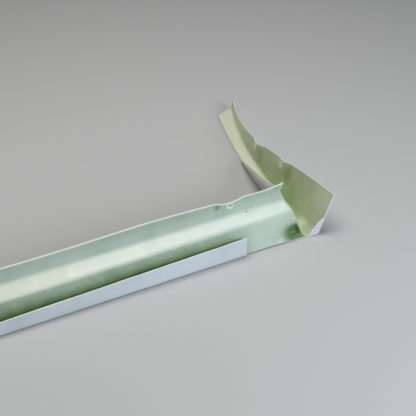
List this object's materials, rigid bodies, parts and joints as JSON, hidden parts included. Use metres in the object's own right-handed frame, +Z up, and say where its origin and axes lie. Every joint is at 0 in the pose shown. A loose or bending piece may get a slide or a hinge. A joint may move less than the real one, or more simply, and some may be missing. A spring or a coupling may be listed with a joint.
{
  "type": "front lip spoiler moulding",
  "caption": "Unpainted glass-fibre front lip moulding: a long open channel with two splayed side arms, raw laminate inside, gel-coat outside.",
  "frame": {"origin": "middle of the moulding's box at the surface it lies on", "axes": "+X to the right along the front channel, +Y towards the ends of the side arms, +Z up"},
  "size_m": [1.8612, 0.6058, 0.1267],
  "materials": {
    "laminate": "raw chopped-mat glass-fibre laminate, pale green and translucent, satin resin surface",
    "gelcoat": "unpainted white gel-coat, smooth satin gloss"
  },
  "bodies": {
    "root": {"front_wall_laminate": "laminate", "front_wall_gelcoat": "gelcoat", "front_lip_laminate": "laminate", "front_lip_gelcoat": "gelcoat", "right_inner_wall_laminate": "laminate", "left_inner_wall_laminate": "laminate", "right_inner_wall_gelcoat": "gelcoat", "left_inner_wall_gelcoat": "gelcoat", "right_floor_laminate": "laminate", "left_floor_laminate": "laminate", "right_floor_gelcoat": "gelcoat", "left_floor_gelcoat": "gelcoat", "right_outer_wall_laminate": "laminate", "left_outer_wall_laminate": "laminate", "right_outer_wall_gelcoat": "gelcoat", "left_outer_wall_gelcoat": "gelcoat", "right_corner_return_gelcoat": "gelcoat", "left_corner_return_gelcoat": "gelcoat"}
  },
  "joints": []
}
